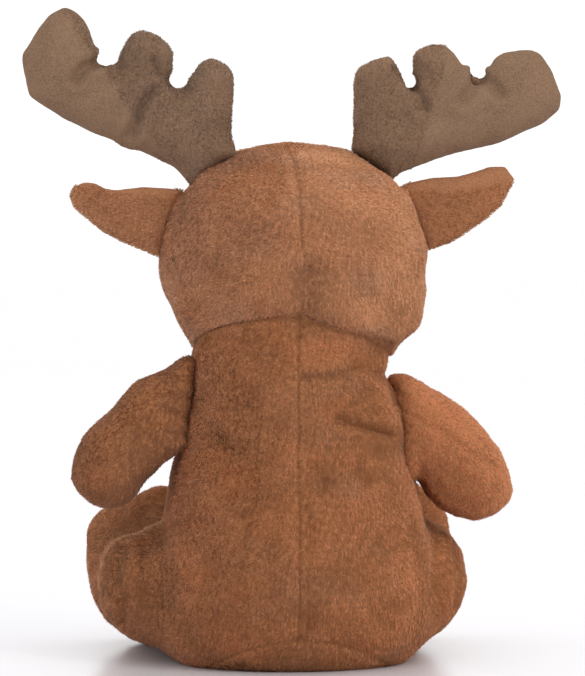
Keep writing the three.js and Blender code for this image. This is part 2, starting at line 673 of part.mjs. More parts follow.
// Head with its face, ears and antlers
function makeHead() {
  const ears = { left_ear: leftEar, right_ear: rightEar };
  const antlers = { left_antler: leftAntler, right_antler: rightAntler };
  const cuts = [headSocket];
  Object.values(ears).forEach((ear) => {
    cuts.push(groove(...rootAxis(ear, earHalfThick), earHalfThick, grooveRunShare * earHalfThick));
  });
  Object.values(antlers).forEach((antler) => {
    cuts.push(groove(...rootAxis(antler, antlerEdge), antlerHalfThick, grooveRunShare * antlerEdge));
  });
  const headOut = headForm(-gap);
  const eyes = { left_eye: eyeSeat(1), right_eye: eyeSeat(-1) };
  const buttons = Object.entries(eyes).map(([name, { place, outward }]) => ({
    name,
    made: button(place, outward, ball(place, eyeRadius, smallSides), headOut, wall),
  }));
  const nosePlace = muzzlePoint(0, noseLift, 0);
  const noseOut = at(
    0,
    -Math.cos(noseLift) / muzzleHalfDeep,
    Math.sin(noseLift) / muzzleHalfTall,
  ).normalize();
  const noseDome = solidOf(
    new THREE.SphereGeometry(1, smallSides, smallSides / 2)
      .scale(noseHalfWide, noseHalfDeep, noseHalfTall)
      .translate(...nosePlace.toArray()),
  );
  const nose = button(nosePlace, noseOut, noseDome, muzzleForm(-gap), muzzleSkin);
  const carve = (solid, more) => [...cuts, ...more].reduce((left, cut) => left.subtract(cut), solid);

  const skin = carve(headForm(0).subtract(headForm(wall)), buttons.map(({ made }) => made.bore));
  const back = behind(skin, headSeamY + seam / 2);
  put("head_back_left", leftOf(back, seam / 2), headPile);
  put("head_back_right", rightOf(back, -seam / 2), headPile);
  put("face_panel", before(skin, headSeamY - seam / 2), headPile);
  put("head_stuffing", carve(headForm(wall + gap), buttons.map(({ made }) => made.pocket)), fibre);
  buttons.forEach(({ name, made }) => {
    put(name, made.piece, darkGloss);
    put(`${name}_washer`, made.washer, paleWasher);
  });

  const muzzleCloth = muzzleForm(0).subtract(muzzleForm(muzzleSkin));
  put("muzzle", muzzleCloth.subtract(headOut).subtract(nose.bore), palePile);
  put("muzzle_stuffing", muzzleForm(muzzleSkin + gap).subtract(headOut).subtract(nose.pocket), fibre);
  put("nose", nose.piece, darkGloss);
  put("nose_washer", nose.washer, paleWasher);
  const lay = stitchRadius + gap;
  const curl = Math.asin(mouthHalfWide / muzzleHalfWide);
  const dropLift = (share) => THREE.MathUtils.lerp(mouthFrom, mouthTo, share);
  const smileLift = (share) => mouthTo + mouthCurl * share ** 2;
  const dropPoint = (share) => muzzlePoint(0, dropLift(share), lay);
  const smilePoint = (share) => muzzlePoint(share * curl, smileLift(share), lay);
  const drop = thread([0, 0.5, 1].map(dropPoint));
  const smile = thread([-1, -0.5, 0, 0.5, 1].map(smilePoint));
  put("mouth_stitch", drop.add(smile), darkThread);

  Object.entries(ears).forEach(([name, ear]) => {
    const whole = pillow(ear, earHalfThick, earHalfThick, 0);
    put(`${name}_back`, behind(whole, headSeamY + seam / 2), earPile);
    put(`${name}_lining`, before(whole, headSeamY - seam / 2), palePile);
  });
  Object.entries(antlers).forEach(([name, antler]) => {
    const form = (inset) => pillow(antler, antlerHalfThick, antlerEdge, inset);
    const shell = form(0).subtract(form(wall));
    put(`${name}_back`, behind(shell, headSeamY + seam / 2), antlerPile);
    put(`${name}_front`, before(shell, headSeamY - seam / 2), antlerPile);
    put(`${name}_stuffing`, form(wall + gap), fibre);
  });
}

makeTorso();
makeNeck();
makeHead();
makeArms();
makeLegs();

export default group;
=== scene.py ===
import json
import math

import bmesh
import bpy
import numpy as np
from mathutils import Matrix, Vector
from mathutils.bvhtree import BVHTree
from mathutils.kdtree import KDTree


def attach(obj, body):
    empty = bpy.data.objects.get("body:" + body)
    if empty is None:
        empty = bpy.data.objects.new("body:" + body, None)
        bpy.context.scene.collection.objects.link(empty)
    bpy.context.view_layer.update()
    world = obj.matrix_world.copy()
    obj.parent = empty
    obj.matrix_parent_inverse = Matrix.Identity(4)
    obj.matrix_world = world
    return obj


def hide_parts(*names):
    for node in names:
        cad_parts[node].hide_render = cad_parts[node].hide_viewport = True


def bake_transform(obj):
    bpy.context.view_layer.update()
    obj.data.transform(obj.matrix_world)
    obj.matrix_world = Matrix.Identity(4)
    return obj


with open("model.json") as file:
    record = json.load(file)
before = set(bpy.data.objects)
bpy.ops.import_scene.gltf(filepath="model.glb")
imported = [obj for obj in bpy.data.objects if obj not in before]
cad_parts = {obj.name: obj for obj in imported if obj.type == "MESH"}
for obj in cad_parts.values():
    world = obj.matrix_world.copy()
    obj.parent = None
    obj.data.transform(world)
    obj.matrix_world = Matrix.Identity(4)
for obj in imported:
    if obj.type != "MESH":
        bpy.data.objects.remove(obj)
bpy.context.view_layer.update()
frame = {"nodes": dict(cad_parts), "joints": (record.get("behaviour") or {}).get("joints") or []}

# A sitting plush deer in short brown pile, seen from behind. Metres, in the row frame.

MM = 0.001
SIDES = {"left": 1, "right": -1}

# Camera, set from the photograph's scale and from how far its seams stray from the middle
AZIMUTH = math.radians(174.25)
ELEVATION = math.radians(4)
DISTANCE = 3.1
SEEN_HEIGHT = 0.3042  # real height across the picture at the toy
AIM = Vector((0.2, 0.0, 147.0)) * MM
SENSOR = 36.0

# Pile: strand length, width and lean from upright, and strands to a square millimetre
BODY_PILE = dict(length=1.9, width=0.24, lean=66, per_mm2=4.2)
ANTLER_PILE = dict(length=1.0, width=0.22, lean=62, per_mm2=4.6)
EAR_PILE = dict(length=1.5, width=0.22, lean=64, per_mm2=4.4)
PILE_FACES = 190_000  # most triangles in one piece of pile

# Strands: how they stray from the nap, the range of their sizes, and how they bend from foot to tip
STRAY, TWIST = 0.35, 0.5
LEAN_STRAY, LEAN_SWELL = 8, 7  # degrees, by strand and by tuft
LEAN_RANGE = (0.2, 1.4)  # radians
LENGTH_RANGE = (0.65, 1.15)
WIDTH_RANGE = (0.7, 1.3)
LOW_LEAN, HIGH_LEAN = 0.7, 1.12  # below and above the middle of a strand, against its lean
LOW_SHARE, HIGH_SHARE = 0.55, 0.45
MIDDLE_WIDTH = 0.8
FOOT_DEPTH = 0.15  # how far a strand starts inside the skin
STRAND_FLOOR, SKIN_FLOOR = 0.15, 0.2  # how far strands and skins stay off the ground

# Tones of a pile, from dark to light, in two hues
TONES = 6
TONE_DARK, TONE_SPAN = 0.62, 0.72
COOL = np.array([0.93, 1.02, 1.2])  # the cooler of the two hues, against the other; gathered towards +X it is painted cool light
SHADE_MIDDLE, SHADE_STRAY = 0.5, 0.19
TUFT_SHADE, TUFT, TUFT_STRETCH = 0.2, 1.3, (1, 1, 0.3)
CLUMP_SHADE, CLUMP = 0.1, 24
HUE_CLUMP_SHARE, HUE_CLUMP = 0.8, 26
HUE_STRAY = 0.5
PAINTED_COOL_ACROSS = 45  # how far towards +X the cooler hue takes to win, as painted cool light on that side
COOL_FROM = 0.3
THROUGH = 0.42  # share of light that goes through the strands

# How far skins are drawn in, so that the pile ends where the solids do
SUNK = 0.7
SUNK_FADE, WAVES_FADE = 6, 20  # heights over which the drawing in and the waves begin
WAVE_COUNT = 14  # waves in a sum of smooth noise

# How a skin is made: its grid in millimetres, and its rounds of relaxing and of smoothing
SKIN_MAKING = {
    "body": (1.35, 8, 36),
    "neck": (2.2, 3, 0),
    "muzzle": (1.2, 0, 12),
    "leg": (1.5, 6, 30),
    "arm": (1.4, 6, 26),
    "ear": (1.1, 0, 10),
    "antler": (1.15, 4, 0),
    "trim": (0.4, 6, 20),
}

# Range of a normal's share of Y over which a pressed line begins, and the rim beside a fold
FACING = (-0.05, 0.35)
FOLD_RIM, FOLD_RIM_AT = 0.3, 2.3
SEAM_DEEP, SEAM_WIDE = 0.9, 0.9
SEAM_DRAW, SEAM_DRAW_WIDE = 0.5, 5  # the wide hollow that a tight seam draws in

rng = np.random.default_rng(11)


# Colour

def linear(srgb):
    """Linear values of an 8-bit sRGB colour."""
    c = np.asarray(srgb, float) / 255.0
    return np.where(c <= 0.04045, c / 12.92, ((c + 0.055) / 1.055) ** 2.4)


# Geometry

def waves(points, scale, seed):
    """Smooth noise of about unit size: a sum of waves about scale long, in millimetres."""
    draw = np.random.default_rng(seed)
    ways = draw.normal(size=(WAVE_COUNT, 3))
    ways /= np.linalg.norm(ways, axis=1)[:, None]
    lengths = scale * MM * draw.uniform(0.6, 1.7, WAVE_COUNT)
    phases = draw.uniform(0, 2 * math.pi, WAVE_COUNT)
    turns = points @ (ways * (2 * math.pi / lengths)[:, None]).T + phases
    return np.cos(turns).sum(axis=1) * math.sqrt(2 / WAVE_COUNT)


def unit(v):
    """Vectors of length 1 along v."""
    return v / np.maximum(np.linalg.norm(v, axis=-1, keepdims=True), 1e-12)


def smooth_step(x, low, high):
    """0 below low, 1 above high, and a smooth rise between them."""
    t = np.clip((x - low) / (high - low), 0, 1)
    return t * t * (3 - 2 * t)


class Skin:
    """A surface as arrays, with the mesh that it came from."""

    def __init__(self, mesh):
        self.mesh = mesh
        self.points = np.empty(len(mesh.vertices) * 3)
        mesh.vertices.foreach_get("co", self.points)
        self.points = self.points.reshape(-1, 3)
        mesh.calc_loop_triangles()
        self.triangles = np.empty(len(mesh.loop_triangles) * 3, int)
        mesh.loop_triangles.foreach_get("vertices", self.triangles)
        self.triangles = self.triangles.reshape(-1, 3)
        self.edges = np.empty(len(mesh.edges) * 2, int)
        mesh.edges.foreach_get("vertices", self.edges)
        self.edges = self.edges.reshape(-1, 2)

    def normals(self):
        a, b, c = (self.points[self.triangles[:, k]] for k in range(3))
        face = np.cross(b - a, c - a)
        total = np.zeros_like(self.points)
        for k in range(3):
            for axis in range(3):
                total[:, axis] += np.bincount(self.triangles[:, k], face[:, axis], len(total))
        return unit(total)

    def relax(self, rounds, share=0.5):
        """Moves each point a share of the way to the middle of its neighbours."""
        a, b = self.edges.T
        size = len(self.points)
        count = np.maximum(np.bincount(a, minlength=size) + np.bincount(b, minlength=size), 1)
        for _ in range(rounds):
            total = np.zeros_like(self.points)
            for axis in range(3):
                column = self.points[:, axis]
                total[:, axis] = np.bincount(a, column[b], size) + np.bincount(b, column[a], size)
            self.points += share * (total / count[:, None] - self.points)

    def smooth(self, rounds):
        """Smooths without shrinking: each step in is followed by one out."""
        for _ in range(rounds):
            self.relax(1, 0.5)
            self.relax(1, -0.52)

    def push(self, amounts):
        """Moves each point along its normal, in millimetres."""
        self.points += self.normals() * (np.broadcast_to(amounts, len(self.points)) * MM)[:, None]

    def shift(self, place, reach, move):
        """Moves the part near a place, seen from behind, by (x, z) in millimetres."""
        away = (self.points[:, [0, 2]] / MM - place) / reach
        share = np.exp(-(away ** 2).sum(axis=1)) * MM
        self.points[:, 0] += share * move[0]
        self.points[:, 2] += share * move[1]

    def press_folds(self, folds, side):
        """Presses folds into the side that faces along side * Y, and returns how deep each point is."""
        facing = smooth_step(self.normals()[:, 1] * side, *FACING)
        flat = self.points[:, [0, 2]]
        depth = np.zeros(len(flat))
        for line, deep, wide in folds:
            away = near_line(flat, line) / (wide * MM)
            rim = FOLD_RIM * np.exp(-((away - FOLD_RIM_AT) ** 2))
            depth += deep * facing * (np.exp(-away ** 2) - rim)
        self.push(-depth)
        return depth

    def press_seam(self, line):
        """Presses a sewn line into the back, and returns how near each point is to it, from 0 to 1."""
        facing = smooth_step(self.normals()[:, 1], *FACING)
        away = near_line(self.points[:, [0, 2]], line) / MM
        near = facing * np.exp(-((away / SEAM_WIDE) ** 2))
        self.push(-(SEAM_DEEP * near + SEAM_DRAW * facing * np.exp(-((away / SEAM_DRAW_WIDE) ** 2))))
        return near

    def keep_off_ground(self):
        self.points[:, 2] = np.maximum(self.points[:, 2], SKIN_FLOOR * MM)

    def store(self):
        """Writes the points back to the mesh."""
        self.mesh.vertices.foreach_set("co", self.points.ravel())
        self.mesh.update()

    def tree(self):
        """A search tree of the surface."""
        return BVHTree.FromPolygons(self.points.tolist(), self.triangles.tolist())

    def height_over(self, tree):
        """How far each point is outside another skin, in millimetres."""
        heights = np.empty(len(self.points))
        for k, point in enumerate(self.points):
            near, normal, _, _ = tree.find_nearest(Vector(point))
            heights[k] = (Vector(point) - near).dot(normal) / MM
        return heights


def near_line(flat, line):
    """Distance of flat points from a line of points in millimetres."""
    best = np.full(len(flat), 1e9)
    for start, end in zip(line, line[1:]):
        a = np.array(start) * MM
        way = np.array(end) * MM - a
        t = np.clip(((flat - a) @ way) / max(way @ way, 1e-12), 0, 1)
        best = np.minimum(best, np.linalg.norm(flat - a - t[:, None] * way, axis=1))
    return best


def joined(names, limit=None):
    """Points and faces of several CAD nodes. limit moves the points, where only a root is wanted."""
    points, faces = [], []
    for name in names:
        mesh = frame["nodes"][name].data
        flat = np.empty(len(mesh.vertices) * 3)
        mesh.vertices.foreach_get("co", flat)
        world = np.array(frame["nodes"][name].matrix_world)
        here = flat.reshape(-1, 3) @ world[:3, :3].T + world[:3, 3]
        if limit:
            here = limit(here)
        first = len(points)
        points.extend(here.tolist())
        faces.extend([[first + v for v in polygon.vertices] for polygon in mesh.polygons])
    return points, faces


def skin_of(*parts, voxel):
    """A closed skin round the outside of several parts, without the shells inside it."""
    points, faces = [], []
    for more_points, more_faces in parts:
        first = len(points)
        points += more_points
        faces += [[first + v for v in face] for face in more_faces]
    mesh = bpy.data.meshes.new("joined")
    mesh.from_pydata(points, [], faces)
    obj = bpy.data.objects.new("joined", mesh)
    bpy.context.scene.collection.objects.link(obj)
    modifier = obj.modifiers.new("remesh", "REMESH")
    modifier.mode = "VOXEL"
    modifier.voxel_size = voxel * MM
    graph = bpy.context.evaluated_depsgraph_get()
    made = bpy.data.meshes.new_from_object(obj.evaluated_get(graph))
    bpy.data.objects.remove(obj)
    skin = Skin(made)

    # Each point takes the lowest label among its neighbours until each piece has one label
    a, b = skin.edges.T
    label = np.arange(len(skin.points))
    while True:
        before = label.copy()
        np.minimum.at(label, a, label[b])
        np.minimum.at(label, b, label[a])
        label = label[label]
        if (label == before).all():
            break
    outer = label == label[skin.points[:, 2].argmax()]
    work = bmesh.new()
    work.from_mesh(made)
    work.verts.ensure_lookup_table()
    bmesh.ops.delete(work, geom=[work.verts[k] for k in np.nonzero(~outer)[0]], context="VERTS")
    work.to_mesh(made)
    work.free()
    return Skin(made)


def soft_skin(kind, *parts):
    """A smoothed skin round several parts, made as SKIN_MAKING says for its kind."""
    voxel, relaxed, smoothed = SKIN_MAKING[kind]
    skin = skin_of(*parts, voxel=voxel)
    skin.relax(relaxed)
    skin.smooth(smoothed)
    return skin


def part_of(skin, mine):
    """The faces of a skin whose corners are mostly marked, left open, and which points they keep."""
    faces = np.nonzero(mine[skin.triangles].sum(axis=1) >= 2)[0]
    kept, corners = np.unique(skin.triangles[faces], return_inverse=True)
    mesh = bpy.data.meshes.new("part")
    mesh.from_pydata(skin.points[kept].tolist(), [], corners.reshape(-1, 3).tolist())
    return Skin(mesh), kept


def close_mesh(mesh):
    """Fills the holes that are left where a skin was parted."""
    work = bmesh.new()
    work.from_mesh(mesh)
    bmesh.ops.holes_fill(work, edges=[edge for edge in work.edges if edge.is_boundary])
    work.to_mesh(mesh)
    work.free()


# Materials

def principled(name):
    material = bpy.data.materials.new(name)
    material.use_nodes = True
    return material, material.node_tree, material.node_tree.nodes["Principled BSDF"]


def add_noise(tree, size, detail=2.0):
    """A noise texture with forms about size across, in millimetres."""
    noise = tree.nodes.new("ShaderNodeTexNoise")
    noise.inputs["Scale"].default_value = 1 / (size * MM)
    noise.inputs["Detail"].default_value = detail
    return noise


def vary_roughness(tree, shader, size, low, high):
    noise = add_noise(tree, size)
    spread = tree.nodes.new("ShaderNodeMapRange")
    spread.inputs["To Min"].default_value = low
    spread.inputs["To Max"].default_value = high
    tree.links.new(noise.outputs["Fac"], spread.inputs["Value"])
    tree.links.new(spread.outputs["Result"], shader.inputs["Roughness"])


def cloth_material(name, srgb):
    """The cloth under the pile: fine streaks and broad clumps of two tones, with bump."""
    material, tree, shader = principled(name)
    nodes, links = tree.nodes, tree.links
    coords = nodes.new("ShaderNodeTexCoord")
    streaks = add_noise(tree, 0.7)
    clumps = add_noise(tree, 14, detail=3.0)
    for noise in (streaks, clumps):
        links.new(coords.outputs["Object"], noise.inputs["Vector"])
    mix = nodes.new("ShaderNodeMath")
    mix.operation = "MULTIPLY_ADD"
    mix.inputs[1].default_value = 0.35
    links.new(clumps.outputs["Fac"], mix.inputs[0])
    links.new(streaks.outputs["Fac"], mix.inputs[2])
    ramp = nodes.new("ShaderNodeValToRGB")
    base = linear(srgb)
    for element, position, share in zip(ramp.color_ramp.elements, (0.42, 0.82), (0.55, 0.95)):
        element.position = position
        element.color = (*(base * share), 1)
    links.new(mix.outputs["Value"], ramp.inputs["Fac"])
    links.new(ramp.outputs["Color"], shader.inputs["Base Color"])
    bump = nodes.new("ShaderNodeBump")
    bump.inputs["Strength"].default_value = 0.4
    bump.inputs["Distance"].default_value = 0.5 * MM
    links.new(streaks.outputs["Fac"], bump.inputs["Height"])
    links.new(bump.outputs["Normal"], shader.inputs["Normal"])
    shader.inputs["Roughness"].default_value = 0.95
    shader.inputs["Specular IOR Level"].default_value = 0.1
    return material


def pile_materials(name, srgb):
    """Strand tones from dark to light, then the same in a cooler hue."""
    made = []
    for tone in range(2 * TONES):
        cool = tone >= TONES
        base = linear(srgb) * (COOL if cool else 1)
        material, tree, shader = principled(f"{name}_pile_{tone}")
        vary_roughness(tree, shader, 3, 0.6, 0.95)
        share = (tone % TONES) / (TONES - 1)
        pale = base * (1 - 0.1 * share) + base.mean() * 0.1 * share
        colour = np.clip(pale * (TONE_DARK + TONE_SPAN * share), 0, 0.95)
        shader.inputs["Base Color"].default_value = (*colour, 1)
        shader.inputs["Specular IOR Level"].default_value = 0.15
        shader.inputs["Sheen Weight"].default_value = 0.2
        shader.inputs["Sheen Roughness"].default_value = 0.45
        shader.inputs["Sheen Tint"].default_value = (1.0, 0.84, 0.68, 1)
        through = tree.nodes.new("ShaderNodeBsdfTranslucent")
        through.inputs["Color"].default_value = (*np.clip(colour ** 0.85, 0, 0.95), 1)
        both = tree.nodes.new("ShaderNodeMixShader")
        both.inputs[0].default_value = THROUGH
        tree.links.new(shader.outputs["BSDF"], both.inputs[1])
        tree.links.new(through.outputs["BSDF"], both.inputs[2])
        tree.links.new(both.outputs["Shader"], tree.nodes["Material Output"].inputs["Surface"])
        made.append(material)
    return made


def gloss_material(name, srgb, roughness):
    material, tree, shader = principled(name)
    vary_roughness(tree, shader, 2, roughness * 0.8, roughness * 1.3)
    shader.inputs["Base Color"].default_value = (*linear(srgb), 1)
    shader.inputs["Coat Weight"].default_value = 0.4
    return material


# Colours of each fabric's cloth and of its pile
COLOURS = {
    "brown": ((176, 120, 80), (223, 151, 101)),
    "head": ((184, 130, 94), (232, 168, 121)),
    "ear": ((174, 120, 86), (231, 164, 111)),
    "warm": ((190, 134, 88), (226, 166, 108)),
    "antler": ((142, 113, 90), (179, 142, 115)),
    "pale": ((223, 187, 145), (240, 213, 175)),
}
CLOTH = {look: cloth_material(f"{look}_cloth", cloth) for look, (cloth, pile) in COLOURS.items()}
PILE = {look: pile_materials(look, pile) for look, (cloth, pile) in COLOURS.items()}


# Pieces

def add_object(name, mesh, materials):
    obj = bpy.data.objects.new(name, mesh)
    for material in materials:
        mesh.materials.append(material)
    bpy.context.scene.collection.objects.link(obj)
    return obj


def cloth_piece(name, skin, look, second=None, is_second=None):
    """The cloth of a skin. is_second says which points belong to its second panel."""
    skin.store()
    skin.mesh.materials.clear()
    looks = [look] if second is None else [look, second]
    piece = add_object(name, skin.mesh, [CLOTH[each] for each in looks])
    if second:
        panel = [int(is_second[polygon.vertices[0]]) for polygon in skin.mesh.polygons]
        skin.mesh.polygons.foreach_set("material_index", panel)
    close_mesh(skin.mesh)
    skin.mesh.polygons.foreach_set("use_smooth", np.ones(len(skin.mesh.polygons), bool))
    return [piece]


def scatter(skin, per_mm2, cover):
    """Places strands on a skin: the corners that each is between, their shares, its root and its normal."""
    triangles = skin.triangles
    corners = skin.points[triangles]
    edges = corners[:, 1] - corners[:, 0], corners[:, 2] - corners[:, 0]
    area = np.linalg.norm(np.cross(*edges), axis=1) / 2
    normals = skin.normals()
    if cover is not None:
        area = area * cover[triangles].mean(axis=1)
    count = int(area.sum() / MM ** 2 * per_mm2)
    chosen = np.searchsorted(np.cumsum(area) / area.sum(), rng.random(count)).clip(0, len(area) - 1)
    u, v = rng.random(count), rng.random(count)
    flip = u + v > 1
    u[flip], v[flip] = 1 - u[flip], 1 - v[flip]
    shares = np.stack([1 - u - v, u, v], axis=1)
    root = (corners[chosen] * shares[:, :, None]).sum(axis=1)
    normal = unit((normals[triangles[chosen]] * shares[:, :, None]).sum(axis=1))
    return triangles[chosen], shares, root, normal


def strand_points(root, normal, way, pile, stretch):
    """Four points to a strand: both sides of its foot, one side of its middle, and its tip."""
    count = len(root)
    lean = pile["lean"] + rng.normal(0, LEAN_STRAY, count) + LEAN_SWELL * waves(root, scale=9, seed=5)
    lean = np.clip(np.radians(lean), *LEAN_RANGE)[:, None]
    length = (pile["length"] * MM * rng.uniform(*LENGTH_RANGE, count) * stretch)[:, None]
    across = unit(np.cross(normal, way) + TWIST * rng.normal(size=way.shape))
    half = (0.5 * pile["width"] * MM * rng.uniform(*WIDTH_RANGE, count))[:, None]
    low = normal * np.cos(lean * LOW_LEAN) + way * np.sin(lean * LOW_LEAN)
    high = normal * np.cos(lean * HIGH_LEAN) + way * np.sin(lean * HIGH_LEAN)
    foot = root - normal * FOOT_DEPTH * MM
    middle = root + low * length * LOW_SHARE
    tip = middle + high * length * HIGH_SHARE
    beside = middle + across * half * MIDDLE_WIDTH
    points = np.stack([foot - across * half, foot + across * half, beside, tip], axis=1)
    points[:, :, 2] = np.maximum(points[:, :, 2], STRAND_FLOOR * MM)
    return points


def strand_tones(root, dark):
    """The tone of each strand, which varies by tuft and clump. The cooler hue comes in clumps, and gathers
    towards +X as painted cool light on that side.
    """
    count = len(root)
    shade = SHADE_MIDDLE + SHADE_STRAY * rng.normal(size=count)
    shade += TUFT_SHADE * waves(root * TUFT_STRETCH, scale=TUFT, seed=3)
    shade += CLUMP_SHADE * waves(root, scale=CLUMP, seed=8)
    shade -= dark
    tone = np.clip((shade * TONES).astype(int), 0, TONES - 1)
    hue = HUE_CLUMP_SHARE * waves(root, scale=HUE_CLUMP, seed=9) + HUE_STRAY * rng.normal(size=count)
    # Painted cool light: the cooler hue wins more often towards +X
    hue += root[:, 0] / (PAINTED_COOL_ACROSS * MM)
    return tone + TONES * (hue > COOL_FROM)


def strand_mesh(name, points, turn, tone, soft):
    """A mesh of two triangles to a strand. turn is the order of their corners, and soft their normals."""
    size = len(points)
    mesh = bpy.data.meshes.new(name)
    mesh.vertices.add(size * 4)
    mesh.vertices.foreach_set("co", points.reshape(-1))
    mesh.loops.add(size * 6)
    mesh.loops.foreach_set("vertex_index", (np.arange(size)[:, None] * 4 + turn).reshape(-1))
    mesh.polygons.add(size * 2)
    mesh.polygons.foreach_set("loop_start", np.arange(size * 2) * 3)
    mesh.polygons.foreach_set("material_index", np.repeat(tone, 2))
    mesh.polygons.foreach_set("use_smooth", np.ones(size * 2, bool))
    mesh.update()
    mesh.validate()
    mesh.normals_split_custom_set_from_vertices(np.repeat(soft, 4, axis=0))
    return mesh


def pile_pieces(name, skin, pile, look, comb, cover=None, dark=None, long=None):
    """Short strands on a skin. comb gives their direction. cover is their share, dark their shade and
    long their length at each point of the skin."""
    corners, shares, root, normal = scatter(skin, pile["per_mm2"], cover)

    def at_roots(values, missing):
        return missing if values is None else (values[corners] * shares).sum(axis=1)

    way = unit(comb(root, normal)) + STRAY * rng.normal(size=root.shape)
    way = unit(way - normal * (way * normal).sum(axis=1)[:, None])
    points = strand_points(root, normal, way, pile, at_roots(long, 1))
    face = np.cross(points[:, 1] - points[:, 0], points[:, 2] - points[:, 0])
    inward = (face * normal).sum(axis=1) < 0
    turn = np.where(inward[:, None], [0, 2, 1, 0, 3, 2], [0, 1, 2, 0, 2, 3])
    tone = strand_tones(root, at_roots(dark, 0))
    soft = unit(normal - way * 0.2 + 0.16 * rng.normal(size=normal.shape))

    made = []
    meshes = max(1, math.ceil(2 * len(root) / PILE_FACES))
    for k in range(meshes):
        mine = slice(k, None, meshes)
        mesh = strand_mesh(name, points[mine], turn[mine], tone[mine], soft[mine])
        piece = add_object(f"{name}_{k + 1}", mesh, PILE[look])
        made.append(piece)
    return made


def hang(pieces, body, parent=None):
    """Rides the pieces on a body; where a parent is given, it only bakes their placement into their meshes
    instead.
    """
    for piece in pieces:
        if parent:
            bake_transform(piece)
        else:
            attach(piece, body)


def group_of(start):
    return [name for name in frame["nodes"] if name.startswith(start)]


# Trunk and head: one skin, pressed in along the neck seam and parted there

TRUNK_NODES = group_of("torso") + ["pellet_bag"]
HEAD_NODES = ["head_back_left", "head_back_right", "face_panel", "head_stuffing"]
HAUNCH_END = -33  # y at which the skin over a haunch ends and the leg's own begins
HAUNCH_RELAXES = [(58, 12, 12, 14, 150), (57, 38, 8, 18, 60)]  # |x|, z, half width, half height, rounds
EAR_ROOT = 53  # |x| at which the skin over an ear's root ends

# Rods that fill the grooves round the arms' roots: their radius, and their ends along the hinge
GROOVE_RADIUS = 11.2
GROOVE_FROM, GROOVE_TO = -12, 62
GROOVE_SIDES, GROOVE_ROWS = 20, 16

# The flank that the rods are kept level with: half widths at five heights, and half its depth
FLANK_HEIGHTS = [51, 73, 95, 116, 137]
FLANK_HALF_WIDTHS = [63, 57.4, 52.1, 49, 45.9]
FLANK_HALF_DEPTH = 50

# The neck seam: the radius that it is pressed to, and the edge of the head that laps over it
NECK_JOINT = frame["joints"][0]
NECK_CENTRE = Vector(NECK_JOINT["pos_m"])
NECK_AXIS = Vector(NECK_JOINT["axis"])
NECK_RADIUS = 49.5
NECK_SEAM_WIDE, NECK_SEAM_DEEP, NECK_SEAM_SHADE = 1.1, 1.5, 1.3
NECK_DRAW, NECK_DRAW_WIDE = 0.8, 4  # the wide hollow that the seam draws in
LAP_RADIUS, LAP_DOWN = 46.4, 3.2
NECK_SUNK = 2.5  # how far the neck's own cloth is drawn in, out of sight
HEAD_LEAN, CHEEK_DROOP = 4, 8
RIM_TUCK = 2.4  # how far the trunk is drawn in round a leg's root

# Seams as (x, z) points on the back. Folds are such a line, a depth and a half width.
BACK_SEAM = [(1.7, 160), (1.7, 147), (2.1, 132), (1.7, 114), (2.1, 96), (1.7, 78), (2.6, 52), (1.7, 14)]
BASE_SEAM = [(-40, 2), (-28, 9), (-14, 13.5), (1, 15.5), (14, 13.5), (28, 9), (40, 2)]
HEAD_SEAM = [(3.3, 237), (1.5, 224), (1.1, 210), (0.2, 192), (-1.2, 180), (-0.3, 168), (1, 150)]
TRUNK_FOLDS = [
    ([(-0.5, 132.5), (-10, 133), (-18.5, 135), (-25, 136.5)], 1.4, 2.2),
    ([(-16, 114.5), (-21, 112), (-34, 107.5), (-41, 105.5)], 2.3, 2.0),
    ([(-22.5, 141), (-33, 135.5), (-42, 128.5), (-44, 119.5)], 1.6, 2.6),
    ([(40, 109), (35.5, 104.5), (29.5, 100)], 1.1, 3.0),
    ([(-6, 92), (-9, 88), (-8, 82)], 1.1, 3.0),
    ([(-24, 92), (-30, 86)], 1.4, 2.8),
    ([(1, 78), (-2, 69), (-0.5, 58)], 0.5, 4.5),
    ([(79.7, 46.7), (82.9, 38), (83.4, 31)], 1.5, 2.0),
    ([(76.7, 52), (79, 40), (76.7, 20)], 1.5, 2.2),
    ([(68.3, 52.7), (70, 45.5), (69, 33)], 1.3, 2.4),
    ([(-64, 55), (-61, 44), (-61, 33)], 0.8, 2.4),
    ([(-74, 52), (-75, 41), (-73, 26)], 1.0, 2.2),
]
HEAD_FOLDS = [
    ([(-0.5, 178), (-0.5, 172)], 1.2, 5.0),
    ([(-20, 174.5), (-34, 168.5), (-44, 160.5)], 0.7, 4.5),
]

# Moves of the trunk's outline: a place and a reach, as (x, z), and the move
BODY_SHIFTS = [
    ((-46, 131), (7, 7), (4.5, 0)),
    ((-54, 142), (8, 8), (6, 1.5)),
    ((66, 64), (13, 11), (0, -5)),
]

# Darker spots: x, z, half width, half height and how dark. Some are brushed nap; the others are painted shade
# in the folds, in the head's dent and over the haunches.
NAP_AND_SHADE_SPOTS = [
    (-2, 174.5, 9, 10, 0.8), (-2, 163, 4, 8, 0.2),
    (-9, 87, 6, 5, 0.4), (-28, 88, 7, 5, 0.4), (0, 30, 7, 6, 0.25), (2, 17, 5, 3, 0.5),
    (-16, 133, 14, 3, 0.3), (-34, 104, 10, 6, 0.35), (-36, 112, 20, 26, 0.36), (36, 105, 6, 5, 0.45),
    (-8, 50, 13, 13, 0.25), (74, 38, 18, 22, 0.35), (-72, 38, 18, 22, 0.25),
    (-40, 50, 22, 30, 0.12), (66, 62, 16, 6, 0.25),
]
SEAM_SHADE, SEAM_SHORT, BASE_SHADE = 0.45, 0.45, 0.28


